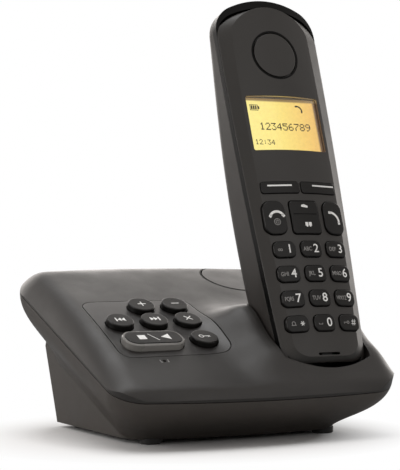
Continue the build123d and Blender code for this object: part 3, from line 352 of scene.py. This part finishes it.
FINISH = {
    "cover": ["base_cover", "locating_key"],
    "base": ["base_shell"],
    "panel": ["control_panel"],
    "rubber": ["base_feet"],
    "board": ["base_circuit_board", "handset_circuit_board"],
    "tin": ["base_board_parts", "handset_board_parts", "earpiece_receiver", "ringer"],
    "mat": ["base_key_mat", "handset_key_mat"],
    "steel": ["base_screws", "handset_screws", "speaker_frame"],
    "cone": ["speaker_cone"],
    "magnet": ["speaker_magnet"],
    "jack": ["line_jack", "power_jack", "base_microphone", "handset_microphone"],
    "nickel": ["charge_springs", "charge_pads", "battery_contacts"],
    "front": ["handset_front_shell", "earpiece_cap"],
    "trim": ["handset_trim_frame"],
    "rear": ["handset_rear_shell", "battery_door"],
    "window": ["display_window"],
    "lcd": ["lcd_glass"],
    "guide": ["lcd_backlight"],
    "cell": ["battery_cells"],
    "skirt": ["play_stop_skirt"],
}
finish_of = {node: name for name, group in FINISH.items() for node in group}
for node_name, obj in NODES.items():
    for holder in obj.material_slots:
        holder.material = MATERIALS[finish_of.get(node_name, "key")]


# ---------------------------------------------------------------- printed marks
def place_mesh(name, mesh, matrix, material, body):
    """A mesh drawn in millimetres, put into the object's frame."""
    mesh.transform(Matrix.Scale(MM, 4) @ matrix)
    obj = bpy.data.objects.new(name, mesh)
    bpy.context.collection.objects.link(obj)
    mesh.materials.clear()
    mesh.materials.append(MATERIALS[material])
    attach(obj, body)
    return obj


def mesh_of(name, bm):
    """A mesh with its faces turned outwards, from a bmesh that is then freed."""
    bmesh.ops.recalc_face_normals(bm, faces=bm.faces)
    mesh = bpy.data.meshes.new(name)
    bm.to_mesh(mesh)
    bm.free()
    return mesh


def wall(bm, low, high):
    """Quads all the way round, between two loops of vertices."""
    for i in range(len(low)):
        j = (i + 1) % len(low)
        bm.faces.new((low[i], low[j], high[j], high[i]))


def printed(name, polygons, matrix, material, body, thick=0.03):
    """Flat printed marks: each polygon becomes a thin plate."""
    bm = bmesh.new()
    for points in polygons:
        low = [bm.verts.new((x, y, 0)) for x, y in points]
        high = [bm.verts.new((x, y, thick)) for x, y in points]
        bm.faces.new(high)
        bm.faces.new(low[::-1])
        wall(bm, low, high)
    return place_mesh(name, mesh_of(name, bm), matrix, material, body)


def draped_ring(name, middle, inner, outer, surface, body, steps=96):
    """A thin dark ring round one of the grooves, painted shade that widens its dark look, following the skin
    that surface(x, y, lift) gives.
    """
    bm = bmesh.new()
    loops = []
    for radius, lift in ((inner, 0.005), (outer, 0.005), (outer, 0.03), (inner, 0.03)):
        turns = [2 * math.pi * i / steps for i in range(steps)]
        spots = [(middle[0] + radius * math.cos(t), middle[1] + radius * math.sin(t)) for t in turns]
        loops.append([bm.verts.new(surface(x, y, lift).translation) for x, y in spots])
    for low, high in zip(loops, loops[1:] + loops[:1]):
        wall(bm, low, high)
    return place_mesh(name, mesh_of(name, bm), Matrix.Identity(4), "groove_shade", body)


def lettering(name, text, size, matrix, material, body, weight, squeeze=1.0):
    """A digit or letters on a dial key, as a thin printed plate."""
    curve = bpy.data.curves.new(name, "FONT")
    curve.body = text
    curve.size = size
    curve.align_x = "CENTER"
    curve.align_y = "CENTER"
    curve.extrude = 0.015
    curve.offset = weight
    curve.resolution_u = 4
    temp = bpy.data.objects.new(name + "_curve", curve)
    bpy.context.collection.objects.link(temp)
    bpy.context.view_layer.update()
    mesh = bpy.data.meshes.new_from_object(temp.evaluated_get(bpy.context.evaluated_depsgraph_get()))
    bpy.data.objects.remove(temp)
    bpy.data.curves.remove(curve)
    narrowed = matrix @ Matrix.Scale(squeeze, 4, (1, 0, 0))
    return place_mesh(name, mesh, narrowed, material, body)


def bar(x0, y0, x1, y1):
    return [(x0, y0), (x1, y0), (x1, y1), (x0, y1)]


def stroke(x0, y0, x1, y1, width):
    """A straight stroke from one point to another."""
    dx, dy = x1 - x0, y1 - y0
    k = width / 2 / math.hypot(dx, dy)
    ox, oy = -dy * k, dx * k
    return [(x0 - ox, y0 - oy), (x1 - ox, y1 - oy), (x1 + ox, y1 + oy), (x0 + ox, y0 + oy)]


def ring(x, y, radius, width, steps=24, start=0.0, stop=360.0):
    """A ring or an arc as quads."""
    inner, outer = radius - width / 2, radius + width / 2
    out = []
    for i in range(steps):
        a, b = (math.radians(start + (stop - start) * k / steps) for k in (i, i + 1))
        corners = ((inner, a), (outer, a), (outer, b), (inner, b))
        out.append([(x + r * math.cos(t), y + r * math.sin(t)) for r, t in corners])
    return out


def moved(polygons, x, y, turn=0.0, size=1.0):
    c, s = math.cos(math.radians(turn)) * size, math.sin(math.radians(turn)) * size
    return [[(x + px * c - py * s, y + px * s + py * c) for px, py in p] for p in polygons]


def receiver(reach, rise, width):
    """A telephone receiver: a bowed grip with a cup at each end."""
    radius = (reach**2 + rise**2) / (2 * rise)
    half = math.degrees(math.asin(reach / radius))
    polygons = ring(0, rise - radius, radius, width, 14, 90 - half, 90 + half)
    cup = [(-0.62, -0.55), (0.62, -0.55), (0.62, 0.45), (0.3, 0.62), (-0.3, 0.62), (-0.62, 0.45)]
    for side in (-1, 1):
        polygons += moved([cup], side * reach, -0.15, side * -half * 0.8, width)
    return polygons


# the base's keys: where each stands on the panel, and what is printed on it
plus = [bar(-1.7, -0.25, 1.7, 0.25), bar(-0.25, 0.25, 0.25, 1.7), bar(-0.25, -1.7, 0.25, -0.25)]
minus = [bar(-1.6, -0.25, 1.6, 0.25)]
to_start = [bar(-2.1, -1.4, -1.5, 1.4)]
to_start += [[(-1.3, 0), (0.3, -1.3), (0.3, 1.3)], [(0.3, 0), (1.9, -1.3), (1.9, 1.3)]]
to_end = [bar(1.5, -1.4, 2.1, 1.4)]
to_end += [[(1.3, 0), (-0.3, 1.3), (-0.3, -1.3)], [(-0.3, 0), (-1.9, 1.3), (-1.9, -1.3)]]
cross = [stroke(-1.4, -1.4, 1.4, 1.4, 0.5)]
cross += [stroke(-1.4, 1.4, -0.2, 0.2, 0.5), stroke(0.2, -0.2, 1.4, -1.4, 0.5)]
key_sign = [bar(-0.6, -0.2, 2.0, 0.2), bar(1.1, -0.9, 1.45, -0.2), bar(1.75, -0.7, 2.05, -0.2)]
key_sign += ring(-1.5, 0, 0.9, 0.4)
PANEL_MARKS = {
    "volume_up_key": (0, REAR_ROW, plus),
    "volume_down_key": (PITCH, REAR_ROW, minus),
    "skip_back_key": (-PITCH, MIDDLE_ROW, to_start),
    "skip_forward_key": (0, MIDDLE_ROW, to_end),
    "delete_key": (PITCH, MIDDLE_ROW, cross),
    "answer_key": (PITCH, FRONT_ROW, key_sign),
}
for key_name, (p, q, marks) in PANEL_MARKS.items():
    at = PANEL @ Matrix.Translation((p, q, BASE_KEY_TOP))
    printed(key_name + "_mark", marks, at, "ink", key_name)
stop_or_play = [bar(-6.4, -1.6, -3.2, 1.6), stroke(-1.6, 2.4, 1.4, -2.6, 0.3)]
stop_or_play += [[(3.0, 0), (6.6, -2.1), (6.6, 2.1)]]
at = PANEL @ Matrix.Translation((-PITCH / 2, FRONT_ROW, PLAY_TOP))
printed("play_stop_mark", stop_or_play, at, "ink", "play_stop_key")

# the microphone's bracket mark on the cover
bracket = [bar(-1.7, -0.9, -1.4, 0.9), bar(1.4, -0.9, 1.7, 0.9)]
bracket += [bar(-1.4, -0.9, -0.9, -0.6), bar(0.9, -0.9, 1.4, -0.6)]
printed("microphone_mark", bracket, skin_place(*MICROPHONE_AT, 0.01), "grey_ink", "base")


# ---------------------------------------------------------------- marks on the handset
def key_mark(name, polygons, at, body, material="ink", lift=KEY_TOP, thick=0.03):
    """A mark on a key of the handset whose middle is at (u, v)."""
    return printed(name, polygons, face_place(*at, lift), material, body, thick)


SIGN = 1.9  # how far a dial key's digit and its letters stand either side of its middle
DIGIT_SIZE, LETTER_SIZE = 4.9, 2.3
NARROW, NARROWEST = 0.85, 0.68  # the width of three letters and of four
DIAL = [("star", "0", "hash"), ("7", "8", "9"), ("4", "5", "6"), ("1", "2", "3")]
LETTERS = {"2": "ABC", "3": "DEF", "4": "GHI", "5": "JKL", "6": "MNO", "7": "PQRS", "8": "TUV", "9": "WXYZ"}
for row, labels in enumerate(DIAL):
    for column, label in enumerate(labels):
        u, v = (column - 1) * DIAL_U, row * DIAL_V
        body = "key_" + label
        if label.isdigit():
            at = face_place(u + SIGN, v, KEY_TOP)
            lettering(body + "_digit", label, DIGIT_SIZE, at, "ink", body, 0.05)
        if label in LETTERS:
            at = face_place(u - SIGN, v - 0.1, KEY_TOP)
            squeeze = NARROW if len(LETTERS[label]) < 4 else NARROWEST
            lettering(body + "_letters", LETTERS[label], LETTER_SIZE, at, "grey_ink", body, 0.03, squeeze)

arms = [(0.9 * math.cos(t), 0.9 * math.sin(t)) for t in (0.0, 1.047, 2.094)]
star = [stroke(-x, -y, x, y, 0.34) for x, y in arms]
bell_sign = ring(0, 0.2, 0.65, 0.26, 12, 0, 180)
bell_sign += [bar(-0.78, -0.5, -0.52, 0.2), bar(0.52, -0.5, 0.78, 0.2), bar(-1.0, -0.7, 1.0, -0.45)]
hash_sign = [stroke(-0.35, -1.2, -0.1, 1.2, 0.28), stroke(0.55, -1.2, 0.8, 1.2, 0.28)]
hash_sign += [bar(-0.9, 0.35, 1.3, 0.62), bar(-1.0, -0.62, 1.2, -0.35)]
lock_sign = ring(0.9, 0, 0.5, 0.26, 12) + [bar(-1.2, -0.13, 0.4, 0.13), bar(-1.1, -0.6, -0.85, -0.13)]
space = [bar(-0.9, -0.75, 0.9, -0.5), bar(-0.9, -0.75, -0.65, -0.2), bar(0.65, -0.75, 0.9, -0.2)]
mailbox = ring(-0.45, 0, 0.42, 0.25, 12) + ring(0.45, 0, 0.42, 0.25, 12)
key_mark("key_star_mark", moved(star, 1.8, 0), (-DIAL_U, 0), "key_star")
key_mark("key_star_bell", moved(bell_sign, -SIGN, 0), (-DIAL_U, 0), "key_star", "grey_ink")
key_mark("key_hash_mark", moved(hash_sign, 1.6, 0), (DIAL_U, 0), "key_hash")
key_mark("key_hash_lock", moved(lock_sign, -SIGN, 0), (DIAL_U, 0), "key_hash", "grey_ink")
key_mark("key_0_space", moved(space, -2.1, 0), (0, 0), "key_0", "grey_ink")
key_mark("key_1_mark", moved(mailbox, -2.1, -0.2), (-DIAL_U, 3 * DIAL_V), "key_1", "grey_ink")

power = ring(0, 0, 1.25, 0.24, 24) + ring(0, 0, 0.62, 0.22, 16, 120, 420) + [bar(-0.11, 0.1, 0.11, 0.95)]
key_mark("end_mark", moved(receiver(2.7, 1.6, 1.0), 0.7, 0.8), (-SIDE_U, NAV_V), "end_key")
key_mark("end_power_mark", moved(power, 0.5, -1.8), (-SIDE_U, NAV_V), "end_key", "grey_ink")
key_mark("talk_mark", moved(receiver(2.9, 1.3, 0.95), 0.3, 0.1, -47), (SIDE_U, NAV_V), "talk_key")

pointer = [[(-1.5, -0.35), (1.3, -0.75), (1.5, 0.05), (-0.2, 0.75), (-1.5, 0.45)]]
book = [bar(-1.45, -0.75, -0.12, 0.75), bar(0.12, -0.75, 1.45, 0.75)]
book += [bar(-1.0, -1.15, -0.4, -0.75), bar(0.4, -1.15, 1.0, -0.75)]
divider = [bar(-5.2, 1.2, 5.2, 1.5)]
key_mark("nav_up_mark", moved(pointer, 0.25, 4.6), (0, NAV_V), "nav_rocker", lift=NAV_TOP)
key_mark("nav_down_mark", moved(book, 0.7, -2.8), (0, NAV_V), "nav_rocker", lift=NAV_TOP)
# painted shade: a dark line across the rocker between its up and down marks
key_mark("nav_divider", divider, (0, NAV_V), "nav_rocker", "groove_shade", NAV_TOP - 0.015, 0.01)
for key_name, u in SOFT_BARS.items():
    key_mark(key_name + "_bar", [bar(-5.3, -0.33, 5.3, 0.33)], (u, SOFT_BAR_V), key_name, lift=SOFT_TOP)

# what the display shows; five-by-seven dots, one number per row from the top down
DOTS = {
    "0": (14, 17, 19, 21, 25, 17, 14), "1": (4, 12, 4, 4, 4, 4, 14), "2": (14, 17, 1, 2, 4, 8, 31),
    "3": (31, 2, 4, 2, 1, 17, 14), "4": (2, 6, 10, 18, 31, 2, 2), "5": (31, 16, 30, 1, 1, 17, 14),
    "6": (6, 8, 16, 30, 17, 17, 14), "7": (31, 1, 2, 4, 8, 8, 8), "8": (14, 17, 17, 14, 17, 17, 14),
    "9": (14, 17, 17, 15, 1, 2, 12), ":": (0, 4, 4, 0, 4, 4, 0),
}
DOT_COLUMNS, DOT_ROWS = 5, 7


def dotted(name, text, dot, middle):
    """Numbers as the display draws them, in square dots."""
    step = DOT_COLUMNS + 1
    left = -dot * (step * len(text) - 1) / 2
    squares = []
    for index, sign in enumerate(text):
        for row, bits in enumerate(DOTS[sign]):
            for column in range(DOT_COLUMNS):
                if bits >> (DOT_COLUMNS - 1 - column) & 1:
                    x = left + dot * (step * index + column)
                    y = dot * (DOT_ROWS // 2 - row)
                    squares.append(bar(x, y - dot * 0.5, x + dot * 1.05, y + dot * 0.5))
    at = DISPLAY @ Matrix.Translation((*middle, 0))
    printed(name, squares, at, "segment", "handset", 0.01)


dotted("display_line", "123456789", 0.44, (0.3, -0.6))
dotted("display_time", "12:34", 0.31, (-10.2, -7.4))
battery = [bar(-2.2, -1.25, 1.5, -1.0), bar(-2.2, 1.0, 1.5, 1.25)]
battery += [bar(-2.2, -1.0, -1.95, 1.0), bar(1.25, -1.0, 1.5, 1.0), bar(1.5, -0.6, 2.1, 0.6)]
battery += [bar(x, -0.8, x + 0.7, 0.8) for x in (-1.75, -0.8, 0.15)]
printed("display_battery", moved(battery, -12.3, 7.3), DISPLAY, "segment", "handset")
on_line = moved(receiver(1.7, 0.8, 0.6), 8.2, 7.4, -45)
printed("display_receiver", on_line, DISPLAY, "segment", "handset")

# painted shade: dark rings beside the grooves round the earpiece and the locating key
EAR_RING, DISC_RING = 0.7, 0.6
ear_out = EAR_RADIUS + EAR_RING
disc_in = DISC_RADIUS + DISC_GROOVE
draped_ring("ear_ring", (0, EAR_V), EAR_RADIUS, ear_out, face_place, "handset")
draped_ring("locating_ring", DISC_AT, disc_in, disc_in + DISC_RING, skin_place, "base")


# ---------------------------------------------------------------- floor, light and camera
# the floor's shade fades to white between these distances from the object, in a slightly squashed ring
FLOOR_NEAR, FLOOR_FAR = 0.05, 0.088
FLOOR_SQUASH, FLOOR_OFFSET = (0.93, 1.0, 1.0), (0.012, 0.008, 0.0)
FLOOR_GREY = (0.90, 0.89, 0.885)
FLOOR_IN_GLOSS = 0.35  # strength of the floor's white in what gloss mirrors
# painted shade: in what gloss mirrors, the floor is darker toward the rear, as if in the object's shade
GLOSS_FLOOR_FRONT, GLOSS_FLOOR_REAR_SHADE = (0.8, 0.78, 0.76), (0.3, 0.29, 0.28)

# the room that gloss mirrors: its level in front, how much of it is left at the left, and its level behind by
# height (the direction's Z), to be multiplied by BEHIND
ROOM_FRONT, ROOM_LEFT, BEHIND = 0.70, 0.38, 4.0
HEIGHTS = [(0.0, 0.42), (0.18, 0.76), (0.36, 0.86), (0.5, 0.63), (0.6, 0.42), (0.70, 0.03), (1.0, 0.02)]
LEFT_PANEL = 2.6  # a bright panel far to the left
SOFT_FRONT, SOFT_BEHIND = 0.22, 1.0  # the diffuse light of the room


def floor_material():
    """Pale floor with the object's shadow near it, white to the camera farther out; in what gloss mirrors it is
    dimmer and has painted shade toward the rear.
    """
    mat, nodes, links = new_material("studio_floor")
    out = nodes.new("ShaderNodeOutputMaterial")
    diffuse = nodes.new("ShaderNodeBsdfDiffuse")
    glow = nodes.new("ShaderNodeEmission")
    glow.inputs[0].default_value = (1, 1, 1, 1)
    path = nodes.new("ShaderNodeLightPath").outputs
    coord = nodes.new("ShaderNodeTexCoord").outputs["Object"]
    spot = nodes.new("ShaderNodeSeparateXYZ")
    links.new(coord, spot.inputs[0])
    # painted shade: the floor's colour in gloss darkens from front to rear
    depth = remap(nodes, links, spot.outputs["Y"], 0, 1, -0.25, 0.05)
    in_gloss = blend_colour(nodes, links, depth, GLOSS_FLOOR_FRONT, GLOSS_FLOOR_REAR_SHADE)
    links.new(blend_colour(nodes, links, path["Is Glossy Ray"], FLOOR_GREY, in_gloss), diffuse.inputs[0])
    links.new(remap(nodes, links, path["Is Glossy Ray"], 1.0, FLOOR_IN_GLOSS, 0, 1), glow.inputs[1])

    squash = nodes.new("ShaderNodeVectorMath")
    squash.operation = "MULTIPLY_ADD"
    squash.inputs[1].default_value = FLOOR_SQUASH
    squash.inputs[2].default_value = FLOOR_OFFSET
    links.new(coord, squash.inputs[0])
    reach = nodes.new("ShaderNodeVectorMath")
    reach.operation = "LENGTH"
    links.new(squash.outputs[0], reach.inputs[0])
    away = remap(nodes, links, reach.outputs["Value"], 0, 1, FLOOR_NEAR, FLOOR_FAR)
    eyes = arithmetic(nodes, links, "MAXIMUM", path["Is Camera Ray"], path["Is Transmission Ray"])
    seen = arithmetic(nodes, links, "MAXIMUM", eyes, path["Is Glossy Ray"])
    fade = arithmetic(nodes, links, "MULTIPLY", seen, away)
    links.new(blend_shader(nodes, links, fade, diffuse.outputs[0], glow.outputs[0]), out.inputs[0])
    return mat


def studio_world():
    """White to the camera, a soft room to diffuse light, and a room with a lighter far side to gloss."""
    world = bpy.data.worlds.new("studio")
    world.use_nodes = True
    nodes, links = world.node_tree.nodes, world.node_tree.links
    nodes.clear()
    out = nodes.new("ShaderNodeOutputWorld")
    path = nodes.new("ShaderNodeLightPath").outputs
    way = nodes.new("ShaderNodeSeparateXYZ")
    links.new(nodes.new("ShaderNodeTexCoord").outputs["Generated"], way.inputs[0])
    x, y, z = way.outputs

    soft = nodes.new("ShaderNodeBackground")
    soft.inputs[0].default_value = (1.0, 0.97, 0.94, 1)
    links.new(remap(nodes, links, y, SOFT_FRONT, SOFT_BEHIND, -0.4, 0.5), soft.inputs[1])

    by_height = ramp_of(nodes, links, z, [(place, (grey, grey, grey)) for place, grey in HEIGHTS])
    by_side = remap(nodes, links, x, BEHIND * ROOM_LEFT, BEHIND, -0.5, -0.05)
    behind = arithmetic(nodes, links, "MULTIPLY", by_height, by_side)
    rear = remap(nodes, links, y, 0, 1, -0.25, 0.35)
    room = blend_number(nodes, links, rear, ROOM_FRONT, behind)
    left = remap(nodes, links, x, LEFT_PANEL, 0.0, -0.97, -0.84)
    over_floor = remap(nodes, links, z, 0.0, 1.0, 0.08, 0.2)
    room = arithmetic(nodes, links, "MULTIPLY_ADD", left, over_floor, room)

    white = nodes.new("ShaderNodeBackground")
    warm = blend_colour(nodes, links, path["Is Glossy Ray"], (1.0, 1.0, 1.0), (1.0, 0.95, 0.91))
    links.new(warm, white.inputs[0])
    links.new(blend_number(nodes, links, path["Is Glossy Ray"], 1.0, room), white.inputs[1])
    sight = arithmetic(nodes, links, "MAXIMUM", path["Is Camera Ray"], path["Is Glossy Ray"])
    sight = arithmetic(nodes, links, "MAXIMUM", sight, path["Is Transmission Ray"])
    links.new(blend_shader(nodes, links, sight, soft.outputs[0], white.outputs[0]), out.inputs[0])
    return world


def area_light(name, place, target, size, power):
    """A soft square lamp, in metres and watts, aimed at target."""
    data = bpy.data.lights.new(name, "AREA")
    data.shape = "RECTANGLE"
    data.size = data.size_y = size
    data.energy = power
    lamp = bpy.data.objects.new(name, data)
    lamp.location = place
    lamp.rotation_euler = (Vector(target) - Vector(place)).to_track_quat("-Z", "Y").to_euler()
    bpy.context.collection.objects.link(lamp)


floor_mesh = bpy.data.meshes.new("floor")
floor_mesh.from_pydata([(-6, -6, 0), (6, -6, 0), (6, 6, 0), (-6, 6, 0)], [], [(0, 1, 2, 3)])
floor_mesh.materials.append(floor_material())
floor = bpy.data.objects.new("floor", floor_mesh)
bpy.context.collection.objects.link(floor)
bpy.context.scene.world = studio_world()
area_light("top_soft", (-0.05, 0.25, 1.15), (0, 0, 0.05), 0.9, 6.5)
area_light("left_soft", (-1.0, 0.0, 0.40), (0, 0, 0.1), 0.5, 1.6)
area_light("front_soft", (0.3, -1.2, 0.7), (0, 0, 0.08), 0.8, 1.0)

# the camera that the photograph was solved for
PHOTO_HEIGHT, FOCAL_PIXELS = 470, 1578.62
SENSOR = 36.0
EYE_AT = Vector((-294.997, -552.847 + SHIFT_Y, 72.908))
AHEAD = Vector((0.4694601, 0.88292603, 0.00698918))
RIGHT = Vector((0.8829477, -0.4694716, 0.0))
camera = bpy.data.cameras.new("camera")
camera.sensor_fit = "AUTO"
camera.sensor_width = SENSOR
camera.lens = FOCAL_PIXELS / PHOTO_HEIGHT * SENSOR
camera.clip_start = 0.01
eye = bpy.data.objects.new("camera", camera)
aim = Matrix((RIGHT, RIGHT.cross(AHEAD), -AHEAD)).transposed().to_4x4()
eye.matrix_world = Matrix.Translation(EYE_AT * MM) @ aim
bpy.context.collection.objects.link(eye)
bpy.context.scene.camera = eye
bpy.context.scene.view_settings.view_transform = "Standard"
